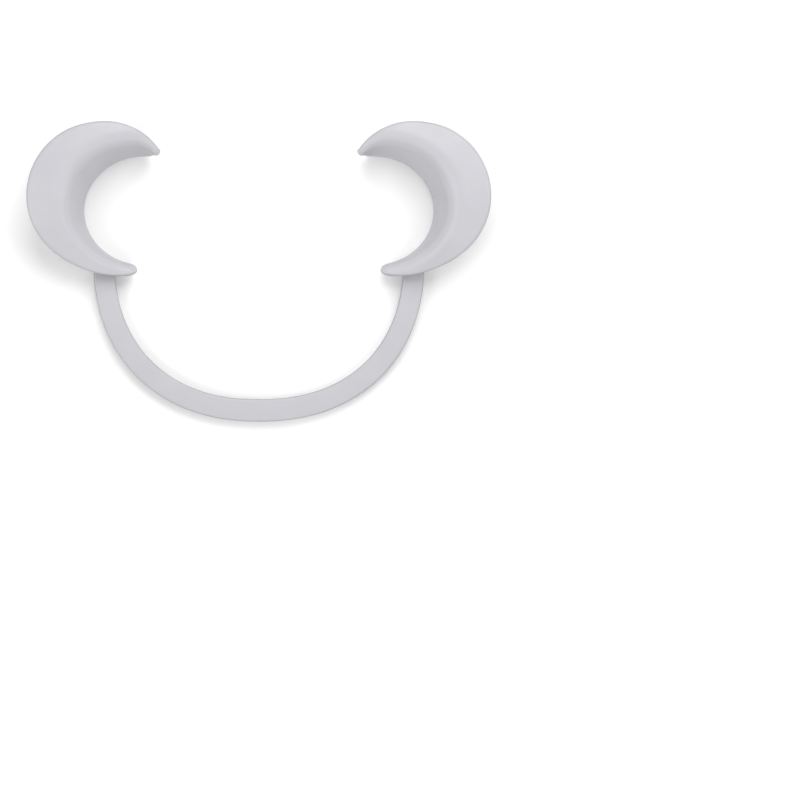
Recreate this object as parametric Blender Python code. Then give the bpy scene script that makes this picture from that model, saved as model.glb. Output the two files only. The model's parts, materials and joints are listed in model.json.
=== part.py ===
"""A C-shaped cheek retractor, lying on the lip side of its two scoops.

X runs across the mouth, Y towards the open end of the C, and Z up, towards the cheeks. Everything is in
metres. The real object is one springy moulding. Here its bow is cut into short lengths at the places where
it flexes, so each length can turn a little against the next, and each scoop can twist on its leg of the bow.
"""

from math import atan2, cos, degrees, hypot, pi, radians, sin, sqrt

import bmesh
import bpy
import numpy as np

MM = 0.001

# The bow: a flat strip along the lower half of a squarish ellipse, whose two legs end under the scoops.
BOW_HALF_WIDTH = 38.3 * MM
BOW_DEPTH = 37.4 * MM
BOW_SQUARENESS = 2.24
BOW_TOP_Y = 2.98 * MM
LEG_REACH = 5 * MM  # how far the straight legs run on beyond the curve
STRIP_WIDTH_MIDDLE = 5.5 * MM
STRIP_WIDTH_LEG = 5.2 * MM
STRIP_THICKNESS = 3.0 * MM
STRIP_EDGE = 0.5 * MM

# Where the bow flexes, as distances along its middle from the middle of the C.
FIRST_FLEX = 6 * MM
FLEX_SPACING = 12 * MM
FLEXES_PER_SIDE = 4
TWIST_Y = -3.2 * MM
GAP = 0.4 * MM

# The throat of a scoop: the part of an ellipse that the corner of the mouth lies in.
THROAT_CENTRE = (28.44 * MM, 14.92 * MM)
THROAT_HALF_X = 14.75 * MM
THROAT_HALF_Y = 13.39 * MM
LOWER_END = -75.0  # degrees around the throat's centre
UPPER_END = 103.5
UPPER_FLARE_FROM = 75.0  # beyond this angle the throat's edge runs straighter than the ellipse
UPPER_FLARE = 0.45 * MM

# The section of a scoop by angle around the throat's centre: how far the cheek flange's rim and its crest
# stand out from the throat's edge, and how high the crest is.
SECTIONS = (
    (-90, 2.6 * MM, 2.2 * MM, 5.3 * MM),
    (-75, 3.2 * MM, 2.4 * MM, 5.6 * MM),
    (-60, 4.7 * MM, 2.9 * MM, 6.4 * MM),
    (-45, 6.5 * MM, 3.9 * MM, 8.2 * MM),
    (-30, 9.0 * MM, 5.1 * MM, 10.6 * MM),
    (-15, 11.7 * MM, 6.4 * MM, 13.0 * MM),
    (0, 13.8 * MM, 7.4 * MM, 14.5 * MM),
    (22, 15.0 * MM, 8.0 * MM, 15.0 * MM),
    (45, 13.75 * MM, 7.9 * MM, 15.0 * MM),
    (60, 11.55 * MM, 7.4 * MM, 14.8 * MM),
    (75, 8.95 * MM, 6.7 * MM, 14.4 * MM),
    (85, 6.75 * MM, 6.1 * MM, 13.8 * MM),
    (98, 3.8 * MM, 3.5 * MM, 12.4 * MM),
    (105, 1.9 * MM, 1.6 * MM, 11.0 * MM),
)

# Lip flange, throat, foot, leaning wall, fold and cheek flange.
SHEET = 1.6 * MM
SHEET_AT_TIP = 1.1 * MM
THROAT_RADIUS = 1.2 * MM  # radii of the middle of the sheet
FOOT_LENGTH = 1.6 * MM
FOOT_EASE = 10.0  # degrees by which the foot of the wall leans less than the wall
FOLD_SHARE = 0.45  # the fold's radius as a share of the crest's distance
FLANGE_DROOP = 11.0  # degrees below level, from the crest to the rim
LIP_SHARE = 0.5  # the lip flange is about half as wide as the cheek flange
LOWER_NOSE = 2.1 * MM  # lengths of the rounded noses at the scoop's two tips
UPPER_NOSE = 0.7 * MM
STEEPEST_WALL = 88.0  # degrees from level
SHALLOWEST_WALL = 35.0
HALVINGS = 20

# Towards each tip the lip flange and then the wall are cut away from below along a round curve: from
# one angle to the other, up to a share of the sheet's length.
UPPER_CUT = (84.0, 104.5, 0.82)
LOWER_CUT = (-66.0, -84.0, 0.6)

# The root of the leg: under the cheek flange it widens, and it ends inside the throat wall.
ROOT_START_Y = -0.8 * MM
ROOT_LAST_RING_Y = 1.0 * MM
ROOT_WIDENING = 1.6 * MM
ROOT_DEPTH = 1.2 * MM

SCOOP_RINGS = 26
UPPER_POINTS = 11
LOWER_POINTS = 6
CAP_POINTS = 2
NOSE_STEPS = (30, 60, 80)
STRIP_STEP = 2 * MM
ROOT_RINGS = 5
TRACE_STEP = 0.02 * MM
POINT_SPACING = 1.6 * MM  # along the sheet's middle, and
POINT_TURN = 20  # degrees, where it bends


def remove_everything():
    for thing in list(bpy.data.objects):
        bpy.data.objects.remove(thing, do_unlink=True)


def plastic():
    material = bpy.data.materials.new("grey_plastic")
    material.use_nodes = True
    shader = material.node_tree.nodes["Principled BSDF"]
    shader.inputs["Base Color"].default_value = (0.60, 0.60, 0.63, 1)
    shader.inputs["Roughness"].default_value = 0.4
    shader.inputs["Metallic"].default_value = 0
    return material


def loft(rings, apexes=(None, None)):
    """A closed mesh through rings of points. An end with an apex comes to that point, others are flat."""
    mesh = bmesh.new()
    loops = [[mesh.verts.new(point) for point in ring] for ring in rings]
    for near, far in zip(loops, loops[1:]):
        for i in range(len(near)):
            mesh.faces.new((near[i - 1], near[i], far[i], far[i - 1]))
    for loop, apex in zip((loops[0], loops[-1]), apexes):
        if apex is None:
            mesh.faces.new(loop)
            continue
        tip = mesh.verts.new(apex)
        for i in range(len(loop)):
            mesh.faces.new((loop[i - 1], loop[i], tip))
    bmesh.ops.recalc_face_normals(mesh, faces=mesh.faces)
    return mesh


def piece(name, mesh, origin, material):
    """An object of the mesh, which is given in world coordinates, with its origin at the given point."""
    bmesh.ops.translate(mesh, verts=mesh.verts, vec=[-value for value in origin])
    data = bpy.data.meshes.new(name)
    mesh.to_mesh(data)
    mesh.free()
    data.shade_smooth()
    data.set_sharp_from_angle(angle=radians(35))
    data.materials.append(material)
    thing = bpy.data.objects.new(name, data)
    thing.location = origin
    bpy.context.collection.objects.link(thing)
    return thing


# ---- the bow ----


def bow_curve():
    """The right half of the bow's middle line, from the bottom: distances, x and y."""
    turn = np.linspace(0, pi / 2, 2000)
    power = 2 / BOW_SQUARENESS
    x = BOW_HALF_WIDTH * np.sin(turn) ** power
    y = BOW_TOP_Y - BOW_DEPTH * np.cos(turn).clip(0) ** power
    x = np.append(x, BOW_HALF_WIDTH)
    y = np.append(y, BOW_TOP_Y + LEG_REACH)
    steps = np.hypot(np.diff(x), np.diff(y))
    return np.append(0, np.cumsum(steps)), x, y


CURVE = bow_curve()


def bow_point(distance):
    """The point at a distance along the bow's middle line. Distances to the left are negative."""
    lengths, x, y = CURVE
    side = -1 if distance < 0 else 1
    return side * np.interp(abs(distance), lengths, x), np.interp(abs(distance), lengths, y)


def bow_heading(distance):
    step = 0.2 * MM
    behind = bow_point(distance - step)
    ahead = bow_point(distance + step)
    return atan2(ahead[1] - behind[1], ahead[0] - behind[0])


def bow_distance_at(y):
    """How far along the right leg the middle line reaches a height y."""
    lengths, _, heights = CURVE
    return float(np.interp(y, heights, lengths))


def strip_section(width):
    """The strip's outline with its four edges cut off, as (across, up) points."""
    half = width / 2
    top = STRIP_THICKNESS
    cut = STRIP_EDGE
    return (
        (half - cut, 0),
        (half, cut),
        (half, top - cut),
        (half - cut, top),
        (cut - half, top),
        (-half, top - cut),
        (-half, cut),
        (cut - half, 0),
    )


def strip_ring(distance, widening=0):
    x, y = bow_point(distance)
    heading = bow_heading(distance)
    share = min(abs(distance) / bow_distance_at(TWIST_Y), 1)
    width = STRIP_WIDTH_MIDDLE + share * (STRIP_WIDTH_LEG - STRIP_WIDTH_MIDDLE) + widening
    points = strip_section(width)
    return [(x - across * sin(heading), y + across * cos(heading), up) for across, up in points]


def strip(start, end):
    steps = max(2, round(abs(end - start) / STRIP_STEP))
    return loft([strip_ring(start + (end - start) * i / steps) for i in range(steps + 1)])


def joint_point(distance):
    x, y = bow_point(distance)
    return x, y, STRIP_THICKNESS / 2


def build_bow(material):
    flexes = [FIRST_FLEX + i * FLEX_SPACING for i in range(FLEXES_PER_SIDE)]
    twist = bow_distance_at(TWIST_Y)
    middle = strip(GAP / 2 - FIRST_FLEX, FIRST_FLEX - GAP / 2)
    piece("bow_centre", middle, joint_point(0), material)
    for side, label in ((1, "right"), (-1, "left")):
        for i, (start, end) in enumerate(zip(flexes, flexes[1:] + [twist])):
            length = strip(side * (start + GAP / 2), side * (end - GAP / 2))
            piece(f"bow_{label}_{i + 1}", length, joint_point(side * start), material)


# ---- the scoops ----


def throat_flare(angle):
    share = max(angle - UPPER_FLARE_FROM, 0) / (UPPER_END - UPPER_FLARE_FROM)
    return UPPER_FLARE * share * share


def throat_radius(angle):
    """From the throat's centre to its edge, at an angle in degrees."""
    turn = radians(angle)
    return 1 / hypot(cos(turn) / THROAT_HALF_X, sin(turn) / THROAT_HALF_Y) + throat_flare(angle)


def sizes_at(angle):
    """The rim's distance, the crest's distance and its height, on smooth curves through SECTIONS."""
    table = np.array(SECTIONS)
    angles, values = table[:, 0], table[:, 1:]
    slopes = np.gradient(values, angles, axis=0)
    i = int(np.clip(np.searchsorted(angles, angle) - 1, 0, len(angles) - 2))
    span = angles[i + 1] - angles[i]
    t = (angle - angles[i]) / span
    start = values[i] * (1 + 2 * t) * (1 - t) ** 2 + slopes[i] * span * t * (1 - t) ** 2
    end = values[i + 1] * (3 - 2 * t) * t * t - slopes[i + 1] * span * t * t * (1 - t)
    rim, crest, height = start + end
    return rim - throat_flare(angle), crest, height


def sheet_thickness(angle):
    share = max(angle - UPPER_FLARE_FROM, 0) / (UPPER_END - UPPER_FLARE_FROM)
    return SHEET + share * (SHEET_AT_TIP - SHEET)


def wall_bends(lean, height, fold):
    """The bends (length, turn) of a wall that leans by some degrees, up to the crest, and their reach."""
    foot = radians(lean - FOOT_EASE)
    middle = radians(lean - FOOT_EASE / 2)
    top = radians(lean)
    climb = THROAT_RADIUS * (1 + cos(foot)) + FOOT_LENGTH * sin(middle) + fold * (1 - cos(top))
    straight = max(height - SHEET - climb, 0) / sin(top)
    bottom = THROAT_RADIUS * (1 - sin(foot)) + FOOT_LENGTH * cos(middle)
    reach = bottom + straight * cos(top) + fold * sin(top)
    bends = (
        (THROAT_RADIUS * (pi / 2 - foot), lean - FOOT_EASE - 90),
        (FOOT_LENGTH, FOOT_EASE),
        (straight, 0),
        (fold * top, -lean),
    )
    return bends, reach


def wall_to(crest, height):
    """The bends of the wall that leads to a crest: its lean is found by halving."""
    fold = FOLD_SHARE * crest
    low, high = SHALLOWEST_WALL, STEEPEST_WALL
    for _ in range(HALVINGS):
        lean = (low + high) / 2
        bends, reach = wall_bends(lean, height, fold)
        if reach > crest - SHEET / 2:
            low = lean
        else:
            high = lean
    return bends + ((fold * radians(FLANGE_DROOP), -FLANGE_DROOP),)


def trace(start, heading, bends, reach, count):
    """Points (out, up, heading) along the middle of the sheet, up to where it has reached out far enough.

    bends are (length, turn) pairs, in metres and degrees. The points crowd where the sheet turns.
    """
    out, up = start
    rows = [(out, up, heading, 0)]
    for length, turn in bends:
        steps = max(round(length / TRACE_STEP), 1)
        for _ in range(steps):
            if out >= reach:
                break
            heading += turn / steps
            out += length / steps * cos(radians(heading))
            up += length / steps * sin(radians(heading))
            effort = rows[-1][3] + length / steps / POINT_SPACING + abs(turn / steps) / POINT_TURN
            rows.append((out, up, heading, effort))
    rows = np.array(rows)
    wanted = np.linspace(0, rows[-1, 3], count)
    return np.column_stack([np.interp(wanted, rows[:, 3], rows[:, i]) for i in range(3)])


def section_middle(angle, cut):
    """The middle of the sheet at an angle around the throat, from the lip flange's rim to the other rim."""
    half = sheet_thickness(angle) / 2
    rim, crest, height = sizes_at(angle)
    start = (half, SHEET / 2 + THROAT_RADIUS)
    upward = wall_to(crest, height) + ((rim, 0),)
    downward = ((THROAT_RADIUS * pi / 2, 90), (rim, 0))
    cheek = trace(start, 90, upward, rim - half, UPPER_POINTS)
    lip = trace(start, -90, downward, 2 * half + LIP_SHARE * (rim - 2 * half) - half, LOWER_POINTS)[::-1]
    lip[:, 2] += 180
    return cut_short(np.vstack([lip[:-1], cheek]), cut)


def cut_share(angle):
    """The share of the sheet's length that is cut away from below at an angle."""
    start, end, most = UPPER_CUT if angle > 0 else LOWER_CUT
    share = min(max((angle - start) / (end - start), 0), 1)
    return most * (1 - sqrt(1 - share * share))


def cut_short(middle, share):
    """A middle line without the first share of its length, in as many points."""
    lengths = np.append(0, np.cumsum(np.hypot(*np.diff(middle[:, :2], axis=0).T)))
    wanted = lengths[-1] * share + lengths * (1 - share)
    return np.column_stack([np.interp(wanted, lengths, middle[:, i]) for i in range(3)])


def around(point, radius, angle):
    out, up, _ = point
    return out + radius * cos(radians(angle)), up + radius * sin(radians(angle))


def section(angle, cut):
    """The sheet's outline at an angle around the throat, with round rims, as (out, up) points."""
    half = sheet_thickness(angle) / 2
    middle = section_middle(angle, cut)
    skin = [around(point, half, point[2] + 90) for point in middle]
    groove = [around(point, half, point[2] - 90) for point in middle]
    turns = [90 - 180 * (i + 1) / (CAP_POINTS + 1) for i in range(CAP_POINTS)]
    cheek_rim = [around(middle[-1], half, middle[-1][2] + turn) for turn in turns]
    lip_rim = [around(middle[0], half, middle[0][2] + 180 + turn) for turn in turns]
    return skin + cheek_rim + groove[::-1] + lip_rim


def scoop_ring(side, angle, outline):
    """An outline's points at an angle around the throat."""
    edge = throat_radius(angle)
    turn = radians(angle)
    return [
        (
            side * (THROAT_CENTRE[0] + (edge + out) * cos(turn)),
            THROAT_CENTRE[1] + (edge + out) * sin(turn),
            up,
        )
        for out, up in outline
    ]


def nose(side, angle, length):
    """Rings that shrink to a rounded tip beyond an end of the scoop, and the tip's point."""
    reach = degrees(length / throat_radius(angle))
    rings = []
    for turn in NOSE_STEPS:
        beyond = angle + reach * sin(radians(turn))
        outline = np.array(section(angle, cut_share(beyond)))
        centre = outline.mean(axis=0)
        rings.append(scoop_ring(side, beyond, centre + (outline - centre) * cos(radians(turn))))
    return rings, scoop_ring(side, angle + reach, [centre])[0]


def scoop_shell(side):
    angles = np.linspace(LOWER_END, UPPER_END, SCOOP_RINGS)
    rings = [scoop_ring(side, angle, section(angle, cut_share(angle))) for angle in angles]
    lower_rings, lower_tip = nose(side, LOWER_END, -LOWER_NOSE)
    upper_rings, upper_tip = nose(side, UPPER_END, UPPER_NOSE)
    return loft(lower_rings[::-1] + rings + upper_rings, (lower_tip, upper_tip))


def root_widening(y, wall_y):
    share = max(y - ROOT_START_Y, 0) / (wall_y - ROOT_START_Y)
    return ROOT_WIDENING * share * share


def wall_y_at(x):
    """Where the inside of the throat wall crosses a line across the leg."""
    reach = (x - THROAT_CENTRE[0]) / (THROAT_HALF_X + ROOT_DEPTH)
    return THROAT_CENTRE[1] - (THROAT_HALF_Y + ROOT_DEPTH) * sqrt(1 - reach * reach)


def leg_stub(side):
    """The leg from the twist to the throat wall, which crosses its end on a slant."""
    wall_y = wall_y_at(BOW_HALF_WIDTH)
    start = bow_distance_at(TWIST_Y) + GAP / 2
    end = bow_distance_at(ROOT_LAST_RING_Y)
    rings = []
    for distance in np.linspace(start, end, ROOT_RINGS):
        _, y = bow_point(distance)
        rings.append(strip_ring(side * distance, root_widening(y, wall_y)))
    width = STRIP_WIDTH_LEG + ROOT_WIDENING
    slope = (wall_y_at(BOW_HALF_WIDTH + width / 2) - wall_y_at(BOW_HALF_WIDTH - width / 2)) / width
    points = strip_section(width)
    last = [(side * (BOW_HALF_WIDTH - across), wall_y - slope * across, up) for across, up in points]
    return loft(rings + [last])


def build_scoop(side, label, material):
    origin = joint_point(side * bow_distance_at(TWIST_Y))
    scoop = piece(f"scoop_{label}", scoop_shell(side), origin, material)
    stub = piece(f"leg_stub_{label}", leg_stub(side), origin, material)
    stub.hide_render = True
    stub.display_type = "WIRE"
    join = scoop.modifiers.new("leg", "BOOLEAN")
    join.operation = "UNION"
    join.object = stub


def main():
    remove_everything()
    material = plastic()
    build_bow(material)
    build_scoop(1, "right", material)
    build_scoop(-1, "left", material)


main()
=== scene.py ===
"""The looks of the cheek retractor: one satin grey moulding, seen straight from above on a white table.

The CAD cuts the moulding into stiff lengths where it flexes. Here each stretch of the bow is one solid that
spans one flex, and each scoop is one solid that grows out of its leg of the bow and stands in for the CAD
part that twists on it.
X runs across the mouth, Y towards the open end of the C, and Z up. Everything is in metres.
"""

import json
from math import atan2, cos, degrees, hypot, pi, radians, sin, sqrt

import bmesh
import bpy
import numpy as np
from mathutils.kdtree import KDTree
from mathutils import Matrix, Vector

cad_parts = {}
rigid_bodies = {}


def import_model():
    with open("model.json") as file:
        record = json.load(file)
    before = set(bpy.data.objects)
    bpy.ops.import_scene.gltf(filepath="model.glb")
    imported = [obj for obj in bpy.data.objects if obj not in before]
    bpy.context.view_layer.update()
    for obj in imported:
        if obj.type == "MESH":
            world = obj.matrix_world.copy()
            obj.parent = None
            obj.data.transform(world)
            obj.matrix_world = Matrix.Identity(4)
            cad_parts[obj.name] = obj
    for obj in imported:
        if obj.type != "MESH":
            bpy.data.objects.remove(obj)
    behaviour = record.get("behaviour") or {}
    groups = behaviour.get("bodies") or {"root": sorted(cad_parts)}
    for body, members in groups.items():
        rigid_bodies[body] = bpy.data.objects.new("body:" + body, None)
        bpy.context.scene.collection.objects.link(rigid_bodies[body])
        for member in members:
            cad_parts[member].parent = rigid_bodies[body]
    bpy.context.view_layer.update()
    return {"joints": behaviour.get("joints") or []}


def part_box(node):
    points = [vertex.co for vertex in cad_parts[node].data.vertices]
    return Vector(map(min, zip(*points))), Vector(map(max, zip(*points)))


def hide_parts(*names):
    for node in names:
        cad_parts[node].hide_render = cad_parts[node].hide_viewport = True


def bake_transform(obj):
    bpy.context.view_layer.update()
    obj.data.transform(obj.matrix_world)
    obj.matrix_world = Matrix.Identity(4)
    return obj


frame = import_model()

MM = 0.001
JOINTS = {joint["name"]: joint for joint in frame["joints"]}

# The bow, as in the CAD: a flat strip along the lower half of a squarish ellipse.
BOW_HALF_WIDTH = 38.3 * MM
BOW_DEPTH = 37.4 * MM
BOW_SQUARENESS = 2.24
BOW_TOP_Y = 2.98 * MM
LEG_REACH = 5 * MM  # how far the straight legs run on beyond the curve
STRIP_WIDTH_MIDDLE = 5.5 * MM
STRIP_WIDTH_LEG = 5.2 * MM
STRIP_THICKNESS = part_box("bow_centre")[1].z
STRIP_EDGE_RADIUS = 0.5 * MM
PARTING_LINE = 0.04 * MM  # how far the line where the mould's halves met stands out
PAINTED_SHADE_FADE = 3  # how fast the painted shade on upright sides and rims fades around the rounded edges
THROAT_SHADE_TURN = 24  # degrees over which the painted shade along the throat fades, away from where its skin stands upright
LAST_CUT = 4.8 * MM  # from the last flex to the end of the last stretch

# The throat of a scoop: the part of an ellipse that the corner of the mouth lies in.
THROAT_CENTRE = (28.44 * MM, 14.92 * MM)
THROAT_HALF_X = 14.75 * MM
THROAT_HALF_Y = 13.39 * MM
LOWER_END = -75.0  # degrees around the throat's centre
UPPER_END = 102.5
UPPER_FLARE_FROM = 75.0  # beyond this angle the throat's edge runs straighter than the ellipse
UPPER_FLARE = 0.15 * MM

# The section of a scoop by angle around the throat's centre: how far the cheek flange's rim and its crest
# stand out from the throat's edge, and how high the crest is.
SECTIONS = (
    (-90, 2.6 * MM, 2.2 * MM, 5.3 * MM),
    (-75, 3.2 * MM, 2.4 * MM, 5.6 * MM),
    (-60, 4.7 * MM, 2.9 * MM, 6.4 * MM),
    (-45, 6.5 * MM, 3.9 * MM, 8.2 * MM),
    (-30, 9.0 * MM, 5.1 * MM, 10.6 * MM),
    (-15, 11.7 * MM, 6.4 * MM, 13.0 * MM),
    (0, 13.8 * MM, 7.4 * MM, 14.5 * MM),
    (22, 15.0 * MM, 8.0 * MM, 15.0 * MM),
    (45, 13.75 * MM, 7.9 * MM, 15.0 * MM),
    (60, 11.55 * MM, 7.4 * MM, 14.8 * MM),
    (75, 8.95 * MM, 6.7 * MM, 14.4 * MM),
    (85, 6.75 * MM, 6.1 * MM, 13.8 * MM),
    (98, 3.65 * MM, 3.5 * MM, 12.4 * MM),
    (105, 1.9 * MM, 1.6 * MM, 11.0 * MM),
)

# Lip flange, throat, foot, leaning wall, fold and cheek flange.
SHEET = 1.6 * MM
SHEET_AT_TIP = 1.1 * MM
THROAT_RADIUS = 1.2 * MM  # radii of the middle of the sheet
FOOT_LENGTH = 1.6 * MM
FOOT_EASE = 10.0  # degrees by which the foot of the wall leans less than the wall
FOLD_SHARE = 0.45  # the fold's radius as a share of the crest's distance
FLANGE_DROOP = 11.0  # degrees below level, from the crest to the rim
LIP_SHARE = 0.5  # the lip flange is about half as wide as the cheek flange
STEEPEST_WALL = 88.0  # degrees from level
SHALLOWEST_WALL = 35.0
HALVINGS = 20  # steps in which the wall's lean is found

# The rounded noses at a scoop's two tips: their lengths, and how fast they taper, where 1 is like half an
# ellipse and less is blunter.
LOWER_NOSE = 2.1 * MM
UPPER_NOSE = 0.8 * MM
LOWER_TAPER = 1.0
UPPER_TAPER = 0.75
SMALLEST_AT = 103.5  # beyond this angle a nose is made from the section that belongs here

# Towards each tip the lip flange and then the wall are cut away from below along a round curve: from
# one angle to the other, up to a share of the sheet's length.
UPPER_CUT = (84.0, 104.5, 0.82)
LOWER_CUT = (-66.0, -84.0, 0.6)

# The root of the leg: under the cheek flange it widens, and it ends inside the throat wall.
ROOT_START_Y = -0.8 * MM
ROOT_LAST_RING_Y = 1.0 * MM
ROOT_WIDENING = 1.6 * MM
ROOT_DEPTH = 1.2 * MM

# How finely the curve and the meshes are made.
CURVE_POINTS = 4000
HEADING_STEP = 0.5 * MM
RING_STEP = 0.5 * MM
SCOOP_RINGS = 150
UPPER_POINTS = 44
LOWER_POINTS = 18
CAP_POINTS = 7
CORNER_POINTS = 6
ROOT_RINGS = 10
NOSE_STEPS = (8, 16, 24, 32, 40, 48, 56, 64, 72, 80, 86)
TRACE_STEP = 0.02 * MM
POINT_SPACING = 1.6 * MM  # along the sheet's middle, and
POINT_TURN = 20  # degrees, where it bends
SHARP_ANGLE = 40  # degrees between two faces, from which their edge isn't smoothed

# The plastic: the two ends of each grey, clouds, wear and grain in features per metre, and roughness.
CLOUD_EDGES = (0.3, 0.7)  # the values of the clouds' noise that take those two ends
# The raised sheet's greys are lighter than the bow's: painted light, for light from the white table that
# shines up through the thin sheet.
LIT_SHEET_GREYS = ((0.464, 0.460, 0.490), (0.484, 0.480, 0.510))
BOW_GREYS = ((0.446, 0.442, 0.471), (0.464, 0.460, 0.489))
# Painted shade: a darker grey for upright sides, rims and the throat's upright skin.
PAINTED_SHADE_GREYS = ((0.27, 0.265, 0.28), (0.34, 0.335, 0.35))
CLOUDS = 130
WEAR = 420
GRAIN = 4200
BURNISHED = 0.34
DULL = 0.5

# The table.
FLOOR_REACH = 3
FLOOR_WHITE = 0.92
FLOOR_ROUGHNESS = 0.9

# The view: the middle of the picture on the table, and the width that it shows there.
VIEW_CENTRE = (34.87 * MM, -31.86 * MM)
VIEW_WIDTH = 197.8 * MM
LENS = 1600
SENSOR = 36

# The studio: an even white dome, and soft lamps: (name, azimuth, degrees from straight above, size, watts)
DOME = 0.45
LAMP_DISTANCE = 0.7
LAMPS = (
    ("key", 78, 42, 0.62, 3.4),
    ("right", 0, 55, 0.5, 1.4),
    ("left", 203, 55, 0.5, 1.95),
    ("front", 275, 55, 0.5, 1.05),
)


# ---- meshes ----


def loft(rings, apexes=(None, None)):
    """A closed mesh through rings of points. An end with an apex comes to that point, others are flat.

    A point is (x, y, z, painted shade), where the last tells how much painted shade, a darker grey for
    shade on upright sides, rims and the throat, its surface gets, from 0 to 1.
    """
    mesh = bmesh.new()
    painted_shade = mesh.verts.layers.float.new("painted_shade")

    def vertex(point):
        made = mesh.verts.new(point[:3])
        made[painted_shade] = point[3]
        return made

    loops = [[vertex(point) for point in ring] for ring in rings]
    for near, far in zip(loops, loops[1:]):
        for i in range(len(near)):
            mesh.faces.new((near[i - 1], near[i], far[i], far[i - 1]))
    for loop, apex in zip((loops[0], loops[-1]), apexes):
        if apex is None:
            mesh.faces.new(loop)
            continue
        tip = vertex(apex)
        for i in range(len(loop)):
            mesh.faces.new((loop[i - 1], loop[i], tip))
    bmesh.ops.recalc_face_normals(mesh, faces=mesh.faces)
    return mesh


def smooth(data):
    """Shades a mesh smooth, apart from its sharp edges."""
    data.shade_smooth()
    data.set_sharp_from_angle(angle=radians(SHARP_ANGLE))


def shown(name, mesh, material):
    """A piece of the scene made from a mesh, which is used up."""
    data = bpy.data.meshes.new(name)
    mesh.to_mesh(data)
    mesh.free()
    smooth(data)
    data.materials.append(material)
    thing = bpy.data.objects.new(name, data)
    bpy.context.scene.collection.objects.link(thing)
    return thing


# ---- the bow ----


def bow_curve():
    """The right half of the bow's middle line, from the bottom: distances, x and y."""
    turn = np.linspace(0, pi / 2, CURVE_POINTS)
    power = 2 / BOW_SQUARENESS
    x = BOW_HALF_WIDTH * np.sin(turn) ** power
    y = BOW_TOP_Y - BOW_DEPTH * np.cos(turn).clip(0) ** power
    x = np.append(x, BOW_HALF_WIDTH)
    y = np.append(y, BOW_TOP_Y + LEG_REACH)
    steps = np.hypot(np.diff(x), np.diff(y))
    return np.append(0, np.cumsum(steps)), x, y


CURVE = bow_curve()


def bow_point(distance):
    """The point at a distance along the bow's middle line. Distances to the left are negative."""
    lengths, x, y = CURVE
    side = -1 if distance < 0 else 1
    return side * np.interp(abs(distance), lengths, x), np.interp(abs(distance), lengths, y)


def bow_heading(distance):
    """The way that the bow's middle line runs at a distance along it, in radians."""
    behind = bow_point(distance - HEADING_STEP)
    ahead = bow_point(distance + HEADING_STEP)
    return atan2(ahead[1] - behind[1], ahead[0] - behind[0])


def bow_distance_at(y):
    """How far along the right leg the middle line reaches a height y."""
    lengths, _, heights = CURVE
    return float(np.interp(y, heights, lengths))


TWIST_AT = bow_distance_at(JOINTS["right_twist"]["pos_m"][1])


def strip_section(width):
    """The strip's outline, with round edges and parting lines on its sides: (across, up, painted shade)
    points, where the upright sides are fully painted with shade.
    """
    half = width / 2
    radius = STRIP_EDGE_RADIUS
    middle = STRIP_THICKNESS / 2
    line = 2 * PARTING_LINE
    points = []
    for across, up, start in (
        (half - radius, radius, -90),
        (half - radius, STRIP_THICKNESS - radius, 0),
        (radius - half, STRIP_THICKNESS - radius, 90),
        (radius - half, radius, 180),
    ):
        for i in range(CORNER_POINTS):
            turn = radians(start + 90 * i / (CORNER_POINTS - 1))
            # Painted shade grows as the corner turns towards the upright side.
            painted_shade = abs(cos(turn)) ** PAINTED_SHADE_FADE
            points.append((across + radius * cos(turn), up + radius * sin(turn), painted_shade))
        if start == -90:
            ridge = half + PARTING_LINE
            points += [(half, middle - line, 1), (ridge, middle, 1), (half, middle + line, 1)]
        if start == 90:
            ridge = -half - PARTING_LINE
            points += [(-half, middle + line, 1), (ridge, middle, 1), (-half, middle - line, 1)]
    return points


def strip_ring(distance, widening=0):
    """The strip's outline in its place at a distance along the bow."""
    x, y = bow_point(distance)
    heading = bow_heading(distance)
    share = min(abs(distance) / TWIST_AT, 1)
    width = STRIP_WIDTH_MIDDLE + share * (STRIP_WIDTH_LEG - STRIP_WIDTH_MIDDLE) + widening
    return [
        (x - across * sin(heading), y + across * cos(heading), up, painted_shade)
        for across, up, painted_shade in strip_section(width)
    ]


def strip_rings(start, end):
    steps = max(2, round(abs(end - start) / RING_STEP))
    return [strip_ring(start + (end - start) * i / steps) for i in range(steps + 1)]


def flex_spots(label):
    """How far along the bow its flexes on one side are, with their joints."""
    names = [f"{label}_squeeze"] + [f"{label}_flex_{i}" for i in (2, 3, 4)]
    return [(bow_distance_at(JOINTS[name]["pos_m"][1]), JOINTS[name]) for name in names]


def build_bow(material):
    for side, label in ((1, "right"), (-1, "left")):
        spots = flex_spots(label)
        middles = [(near + far) / 2 for (near, _), (far, _) in zip(spots, spots[1:])]
        cuts = [0] + middles + [spots[-1][0] + LAST_CUT]
        for i, (spot, joint) in enumerate(spots):
            mesh = loft(strip_rings(side * cuts[i], side * cuts[i + 1]))
            stretch = shown(f"bow_{label}_stretch_{i + 1}", mesh, material)
            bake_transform(stretch)
            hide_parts(joint["parent"], joint["child"])


# ---- the scoops ----


def throat_flare(angle):
    share = max(angle - UPPER_FLARE_FROM, 0) / (UPPER_END - UPPER_FLARE_FROM)
    return UPPER_FLARE * share * share


def throat_radius(angle):
    """From the throat's centre to its edge, at an angle in degrees."""
    turn = radians(angle)
    return 1 / hypot(cos(turn) / THROAT_HALF_X, sin(turn) / THROAT_HALF_Y) + throat_flare(angle)


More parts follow.
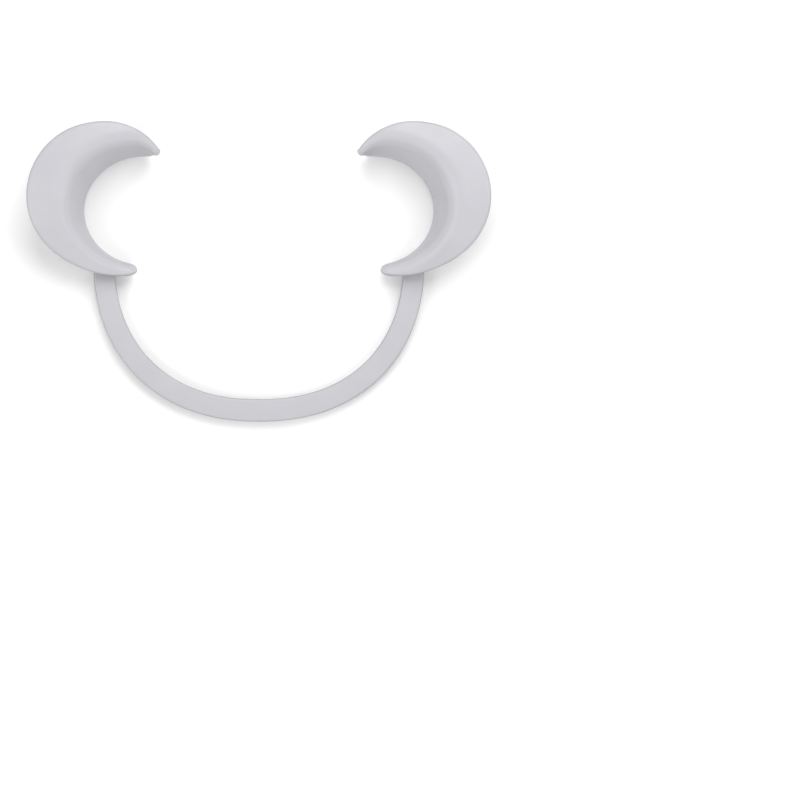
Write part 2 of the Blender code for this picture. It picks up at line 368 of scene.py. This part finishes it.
def sizes_at(angle):
    """The rim's distance, the crest's distance and its height, on smooth curves through SECTIONS."""
    table = np.array(SECTIONS)
    angles, values = table[:, 0], table[:, 1:]
    slopes = np.gradient(values, angles, axis=0)
    i = int(np.clip(np.searchsorted(angles, angle) - 1, 0, len(angles) - 2))
    span = angles[i + 1] - angles[i]
    t = (angle - angles[i]) / span
    start = values[i] * (1 + 2 * t) * (1 - t) ** 2 + slopes[i] * span * t * (1 - t) ** 2
    end = values[i + 1] * (3 - 2 * t) * t * t - slopes[i + 1] * span * t * t * (1 - t)
    rim, crest, height = start + end
    return rim - throat_flare(angle), crest, height


def sheet_thickness(angle):
    share = max(angle - UPPER_FLARE_FROM, 0) / (UPPER_END - UPPER_FLARE_FROM)
    return SHEET + share * (SHEET_AT_TIP - SHEET)


def wall_bends(lean, height, fold):
    """The bends (length, turn) of a wall that leans by some degrees, up to the crest, and their reach."""
    foot = radians(lean - FOOT_EASE)
    middle = radians(lean - FOOT_EASE / 2)
    top = radians(lean)
    climb = THROAT_RADIUS * (1 + cos(foot)) + FOOT_LENGTH * sin(middle) + fold * (1 - cos(top))
    straight = max(height - SHEET - climb, 0) / sin(top)
    bottom = THROAT_RADIUS * (1 - sin(foot)) + FOOT_LENGTH * cos(middle)
    reach = bottom + straight * cos(top) + fold * sin(top)
    bends = (
        (THROAT_RADIUS * (pi / 2 - foot), lean - FOOT_EASE - 90),
        (FOOT_LENGTH, FOOT_EASE),
        (straight, 0),
        (fold * top, -lean),
    )
    return bends, reach


def wall_to(crest, height):
    """The bends of the wall that leads to a crest: its lean is found by halving."""
    fold = FOLD_SHARE * crest
    low, high = SHALLOWEST_WALL, STEEPEST_WALL
    for _ in range(HALVINGS):
        lean = (low + high) / 2
        bends, reach = wall_bends(lean, height, fold)
        if reach > crest - SHEET / 2:
            low = lean
        else:
            high = lean
    return bends + ((fold * radians(FLANGE_DROOP), -FLANGE_DROOP),)


def trace(start, heading, bends, reach, count):
    """Points (out, up, heading) along the middle of the sheet, up to where it has reached out far enough.

    bends are (length, turn) pairs, in metres and degrees. The points crowd where the sheet turns.
    """
    out, up = start
    rows = [(out, up, heading, 0)]
    for length, turn in bends:
        steps = max(round(length / TRACE_STEP), 1)
        for _ in range(steps):
            if out >= reach:
                break
            heading += turn / steps
            out += length / steps * cos(radians(heading))
            up += length / steps * sin(radians(heading))
            effort = rows[-1][3] + length / steps / POINT_SPACING + abs(turn / steps) / POINT_TURN
            rows.append((out, up, heading, effort))
    rows = np.array(rows)
    wanted = np.linspace(0, rows[-1, 3], count)
    return np.column_stack([np.interp(wanted, rows[:, 3], rows[:, i]) for i in range(3)])


def section_middle(angle, cut):
    """The middle of the sheet at an angle around the throat, from the lip flange's rim to the other rim."""
    half = sheet_thickness(angle) / 2
    rim, crest, height = sizes_at(angle)
    start = (half, SHEET / 2 + THROAT_RADIUS)
    upward = wall_to(crest, height) + ((rim, 0),)
    downward = ((THROAT_RADIUS * pi / 2, 90), (rim, 0))
    cheek = trace(start, 90, upward, rim - half, UPPER_POINTS)
    lip = trace(start, -90, downward, 2 * half + LIP_SHARE * (rim - 2 * half) - half, LOWER_POINTS)[::-1]
    lip[:, 2] += 180
    return cut_short(np.vstack([lip[:-1], cheek]), cut)


def cut_share(angle):
    """The share of the sheet's length that is cut away from below at an angle."""
    start, end, most = UPPER_CUT if angle > 0 else LOWER_CUT
    share = min(max((angle - start) / (end - start), 0), 1)
    return most * (1 - sqrt(1 - share * share))


def cut_short(middle, share):
    """A middle line without the first share of its length, in as many points."""
    lengths = np.append(0, np.cumsum(np.hypot(*np.diff(middle[:, :2], axis=0).T)))
    wanted = lengths[-1] * share + lengths * (1 - share)
    return np.column_stack([np.interp(wanted, lengths, middle[:, i]) for i in range(3)])


def around(point, radius, angle):
    out, up, _ = point
    return out + radius * cos(radians(angle)), up + radius * sin(radians(angle))


def section(angle, cut):
    """The sheet's outline at an angle around the throat, with round rims, as (out, up, painted shade)
    points: the rims and the throat's upright skin get painted shade.
    """
    half = sheet_thickness(angle) / 2
    middle = section_middle(angle, cut)
    # The skin gets painted shade where it stands upright along the throat; the groove gets none.
    skin = [around(point, half, point[2] + 90) + (throat_painted_shade(point),) for point in middle]
    groove = [around(point, half, point[2] - 90) + (0,) for point in middle]
    turns = [90 - 180 * (i + 1) / (CAP_POINTS + 1) for i in range(CAP_POINTS)]
    rims = []
    # The rims' rounded ends get painted shade where they face sideways.
    for end, back in ((middle[-1], 0), (middle[0], 180)):
        for turn in turns:
            reach = half + (PARTING_LINE if turn == 0 else 0)
            rims.append(around(end, reach, end[2] + back + turn) + (cos(radians(turn)) ** PAINTED_SHADE_FADE,))
    return skin + rims[:CAP_POINTS] + groove[::-1] + rims[CAP_POINTS:]


def throat_painted_shade(point):
    """How much painted shade a point of the skin gets: it is painted where the skin stands upright, along
    the throat.
    """
    away = abs((point[2] - 90) / THROAT_SHADE_TURN)
    return max(1 - away, 0)


def scoop_ring(side, angle, outline):
    """An outline's points at an angle around the throat."""
    edge = throat_radius(angle)
    turn = radians(angle)
    return [
        (
            side * (THROAT_CENTRE[0] + (edge + out) * cos(turn)),
            THROAT_CENTRE[1] + (edge + out) * sin(turn),
            up,
            painted_shade,
        )
        for out, up, painted_shade in outline
    ]


def nose(side, angle, length, taper):
    """Rings that shrink to a rounded tip beyond an end of the scoop, and the tip's point."""
    reach = degrees(length / throat_radius(angle))
    rings = []
    for turn in NOSE_STEPS:
        beyond = angle + reach * sin(radians(turn))
        width = cos(radians(turn)) ** taper
        outline = section(min(beyond, SMALLEST_AT), cut_share(beyond))
        centre = np.mean(outline, axis=0)[:2]
        shrunk = [(*(centre + (np.array(point[:2]) - centre) * width), point[2]) for point in outline]
        rings.append(scoop_ring(side, beyond, shrunk))
    return rings, scoop_ring(side, angle + reach, [(*centre, 0)])[0]


def scoop_shell(side):
    angles = np.linspace(LOWER_END, UPPER_END, SCOOP_RINGS)
    rings = [scoop_ring(side, angle, section(angle, cut_share(angle))) for angle in angles]
    lower_rings, lower_tip = nose(side, LOWER_END, -LOWER_NOSE, LOWER_TAPER)
    upper_rings, upper_tip = nose(side, UPPER_END, UPPER_NOSE, UPPER_TAPER)
    return loft(lower_rings[::-1] + rings + upper_rings, (lower_tip, upper_tip))


def root_widening(y, wall_y):
    share = max(y - ROOT_START_Y, 0) / (wall_y - ROOT_START_Y)
    return ROOT_WIDENING * share * share


def wall_y_at(x):
    """Where the inside of the throat wall crosses a line across the leg."""
    reach = (x - THROAT_CENTRE[0]) / (THROAT_HALF_X + ROOT_DEPTH)
    return THROAT_CENTRE[1] - (THROAT_HALF_Y + ROOT_DEPTH) * sqrt(1 - reach * reach)


def leg_stub(side, start):
    """The leg from a distance along the bow to the throat wall, which crosses its end on a slant."""
    wall_y = wall_y_at(BOW_HALF_WIDTH)
    rings = strip_rings(side * start, side * bow_distance_at(ROOT_START_Y))
    for y in np.linspace(ROOT_START_Y, ROOT_LAST_RING_Y, ROOT_RINGS)[1:]:
        rings.append(strip_ring(side * bow_distance_at(y), root_widening(y, wall_y)))
    width = STRIP_WIDTH_LEG + ROOT_WIDENING
    slope = (wall_y_at(BOW_HALF_WIDTH + width / 2) - wall_y_at(BOW_HALF_WIDTH - width / 2)) / width
    last = [
        (side * (BOW_HALF_WIDTH - across), wall_y - slope * across, up, painted_shade)
        for across, up, painted_shade in strip_section(width)
    ]
    return loft(rings + [last])


def join(thing, other):
    """Unites two pieces' meshes into the first piece and removes the other."""
    painted_shades = []
    near = KDTree(len(thing.data.vertices) + len(other.data.vertices))
    for source in (thing.data, other.data):
        for vertex, painted_shade in zip(source.vertices, source.attributes["painted_shade"].data):
            near.insert(vertex.co, len(painted_shades))
            painted_shades.append(painted_shade.value)
    near.balance()
    union = thing.modifiers.new("join", "BOOLEAN")
    union.operation = "UNION"
    union.object = other
    evaluated = thing.evaluated_get(bpy.context.evaluated_depsgraph_get())
    data = bpy.data.meshes.new_from_object(evaluated)
    thing.modifiers.clear()
    # Each new vertex takes the painted shade of the nearest old vertex.
    for vertex, painted_shade in zip(data.vertices, data.attributes["painted_shade"].data):
        painted_shade.value = painted_shades[near.find(vertex.co)[1]]
    thing.data = data
    smooth(data)
    bpy.data.objects.remove(other)


def build_scoops(material):
    for side, label in ((1, "right"), (-1, "left")):
        start = flex_spots(label)[-1][0] + LAST_CUT
        joint = JOINTS[f"{label}_twist"]
        scoop = shown(f"scoop_{label}_moulding", scoop_shell(side), material)
        join(scoop, shown("leg", leg_stub(side, start), material))
        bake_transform(scoop)
        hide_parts(joint["child"])


# ---- the material ----


def node(tree, kind, **inputs):
    """A new node whose inputs have these values. An underscore in a name stands for a space."""
    made = tree.nodes.new(kind)
    for name, value in inputs.items():
        made.inputs[name.replace("_", " ")].default_value = value
    return made


def ramp(tree, greys):
    """A ramp from one grey to another between the clouds' edges."""
    made = tree.nodes.new("ShaderNodeValToRGB")
    for element, position, grey in zip(made.color_ramp.elements, CLOUD_EDGES, greys):
        element.position = position
        element.color = (*grey, 1)
    return made


def blended(tree, share, first, second):
    """The output of a node that goes from one colour to another."""
    made = tree.nodes.new("ShaderNodeMix")
    made.data_type = "RGBA"
    sockets = {socket.identifier: socket for socket in (*made.inputs, *made.outputs)}
    tree.links.new(share, sockets["Factor_Float"])
    tree.links.new(first, sockets["A_Color"])
    tree.links.new(second, sockets["B_Color"])
    return sockets["Result_Color"]


def plastic():
    """Satin grey plastic: a little cloudy, finely grained, burnished in places, with painted shade along
    its upright sides, rims and throats, and painted light on its raised sheet.
    """
    material = bpy.data.materials.new("satin_grey_plastic")
    material.use_nodes = True
    tree = material.node_tree
    shader = tree.nodes["Principled BSDF"]
    place = tree.nodes.new("ShaderNodeTexCoord")

    clouds = node(tree, "ShaderNodeTexNoise", Scale=CLOUDS, Detail=3)
    sheet = ramp(tree, LIT_SHEET_GREYS)
    thick = ramp(tree, BOW_GREYS)
    edge_shade_ramp = ramp(tree, PAINTED_SHADE_GREYS)
    # Painted light: the higher parts take the lighter sheet greys and the low bow the darker ones, blended
    # by height.
    height = tree.nodes.new("ShaderNodeSeparateXYZ")
    painted_light_by_height = node(tree, "ShaderNodeMapRange", From_Min=STRIP_THICKNESS, From_Max=2 * STRIP_THICKNESS)
    # Painted shade: the mesh's painted shade attribute mixes in the darker greys along upright sides, rims
    # and the throat.
    painted_shade = tree.nodes.new("ShaderNodeAttribute")
    painted_shade.attribute_name = "painted_shade"
    tree.links.new(place.outputs["Object"], clouds.inputs["Vector"])
    for greys in (sheet, thick, edge_shade_ramp):
        tree.links.new(clouds.outputs["Fac"], greys.inputs["Fac"])
    tree.links.new(place.outputs["Object"], height.inputs["Vector"])
    tree.links.new(height.outputs["Z"], painted_light_by_height.inputs["Value"])
    painted_light_tone = blended(tree, painted_light_by_height.outputs["Result"], thick.outputs["Color"], sheet.outputs["Color"])
    colour = blended(tree, painted_shade.outputs["Fac"], painted_light_tone, edge_shade_ramp.outputs["Color"])
    tree.links.new(colour, shader.inputs["Base Color"])

    wear = node(tree, "ShaderNodeTexNoise", Scale=WEAR, Detail=4, Distortion=0.6)
    polish = node(tree, "ShaderNodeMapRange", To_Min=BURNISHED, To_Max=DULL)
    tree.links.new(place.outputs["Object"], wear.inputs["Vector"])
    tree.links.new(wear.outputs["Fac"], polish.inputs["Value"])
    tree.links.new(polish.outputs["Result"], shader.inputs["Roughness"])

    grain = node(tree, "ShaderNodeTexNoise", Scale=GRAIN, Detail=2)
    fine = node(tree, "ShaderNodeBump", Strength=0.12, Distance=0.02 * MM)
    sink = node(tree, "ShaderNodeBump", Strength=0.25, Distance=0.15 * MM)
    tree.links.new(place.outputs["Object"], grain.inputs["Vector"])
    tree.links.new(grain.outputs["Fac"], fine.inputs["Height"])
    tree.links.new(clouds.outputs["Fac"], sink.inputs["Height"])
    tree.links.new(sink.outputs["Normal"], fine.inputs["Normal"])
    tree.links.new(fine.outputs["Normal"], shader.inputs["Normal"])
    return material


# ---- the studio ----


def build_floor():
    mesh = bmesh.new()
    bmesh.ops.create_grid(mesh, x_segments=1, y_segments=1, size=FLOOR_REACH)
    material = bpy.data.materials.new("white_table")
    material.use_nodes = True
    shader = material.node_tree.nodes["Principled BSDF"]
    shader.inputs["Base Color"].default_value = (FLOOR_WHITE, FLOOR_WHITE, FLOOR_WHITE, 1)
    shader.inputs["Roughness"].default_value = FLOOR_ROUGHNESS
    shader.inputs["Specular IOR Level"].default_value = 0.0
    floor = shown("table", mesh, material)


def build_lights():
    world = bpy.data.worlds.new("studio")
    world.use_nodes = True
    background = world.node_tree.nodes["Background"]
    background.inputs["Color"].default_value = (1, 1, 1, 1)
    background.inputs["Strength"].default_value = DOME
    bpy.context.scene.world = world
    for name, azimuth, zenith, size, power in LAMPS:
        data = bpy.data.lights.new(name, "AREA")
        data.shape = "DISK"
        data.size = size
        data.energy = power
        lamp = bpy.data.objects.new(name, data)
        level = LAMP_DISTANCE * sin(radians(zenith))
        lamp.location = (
            level * cos(radians(azimuth)),
            level * sin(radians(azimuth)),
            LAMP_DISTANCE * cos(radians(zenith)),
        )
        lamp.rotation_euler = lamp.location.to_track_quat("Z", "Y").to_euler()
        bpy.context.scene.collection.objects.link(lamp)


def build_camera():
    data = bpy.data.cameras.new("camera")
    data.lens = LENS
    data.sensor_width = SENSOR
    distance = LENS * VIEW_WIDTH / SENSOR
    data.clip_end = 2 * distance
    camera = bpy.data.objects.new("camera", data)
    camera.location = (*VIEW_CENTRE, distance)
    bpy.context.scene.collection.objects.link(camera)
    bpy.context.scene.camera = camera


material = plastic()
build_bow(material)
build_scoops(material)
build_floor()
build_lights()
build_camera()
bpy.context.scene.view_settings.view_transform = "Standard"
